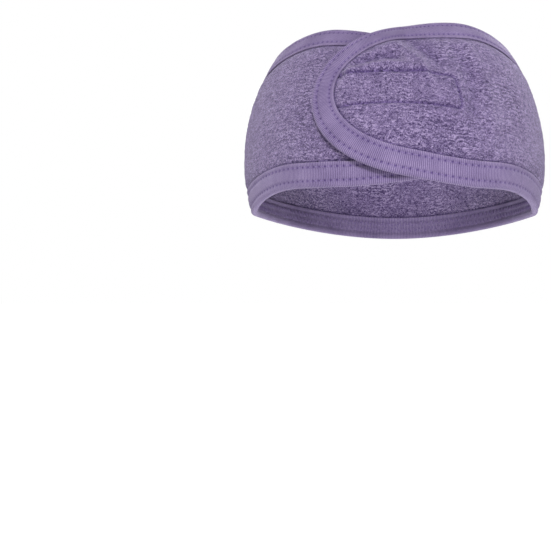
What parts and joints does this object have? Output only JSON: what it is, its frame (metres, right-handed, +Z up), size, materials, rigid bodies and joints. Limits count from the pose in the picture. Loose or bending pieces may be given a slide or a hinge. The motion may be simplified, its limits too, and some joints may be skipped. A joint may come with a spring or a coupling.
{
  "type": "spa headband",
  "caption": "Terry spa headband with a bound edge, worn round the head and closed by a rounded hook-and-loop flap over the forehead.",
  "frame": {"origin": "middle of the head opening, level with the lower edge of the band on the forehead", "axes": "+Z up along the head, -Y out of the forehead, +X to the wearer's left, where the flap comes from"},
  "size_m": [0.1646, 0.205, 0.112],
  "materials": {
    "terry": "looped towelling pile, matt",
    "binding": "fine ribbed knit tape",
    "thread": "spun sewing thread",
    "hook_tape": "woven nylon with moulded hooks",
    "loop_tape": "napped nylon loops"
  },
  "bodies": {
    "band": {"band_terry": "terry", "band_binding": "binding", "band_outer_needle_thread": "thread", "band_inner_needle_thread": "thread", "band_looper_thread": "thread", "loop_patch_stitching": "thread", "loop_patch": "loop_tape"},
    "flap_root": {"flap_root_terry": "terry", "flap_root_lower_binding": "binding", "flap_root_upper_binding": "binding", "flap_root_lower_outer_needle_thread": "thread", "flap_root_lower_inner_needle_thread": "thread", "flap_root_lower_looper_thread": "thread", "flap_root_upper_outer_needle_thread": "thread", "flap_root_upper_inner_needle_thread": "thread", "flap_root_upper_looper_thread": "thread"},
    "flap_tip": {"flap_tip_terry": "terry", "flap_tip_binding": "binding", "flap_tip_outer_needle_thread": "thread", "flap_tip_inner_needle_thread": "thread", "flap_tip_looper_thread": "thread", "hook_patch_stitching": "thread", "hook_patch": "hook_tape"}
  },
  "joints": [
    {"name": "flap_swing", "type": "hinge", "parent": "band", "child": "flap_root", "pos_m": [0.07786, -0.03881, 0.03827], "axis": [-0.183, 0.0631, 0.9811], "range_deg": [0, 100]},
    {"name": "tip_peel", "type": "hinge", "parent": "flap_root", "child": "flap_tip", "pos_m": [0.04019, -0.08448, 0.0493], "axis": [-0.2284, 0.3274, 0.9169], "range_deg": [0, 90]}
  ]
}
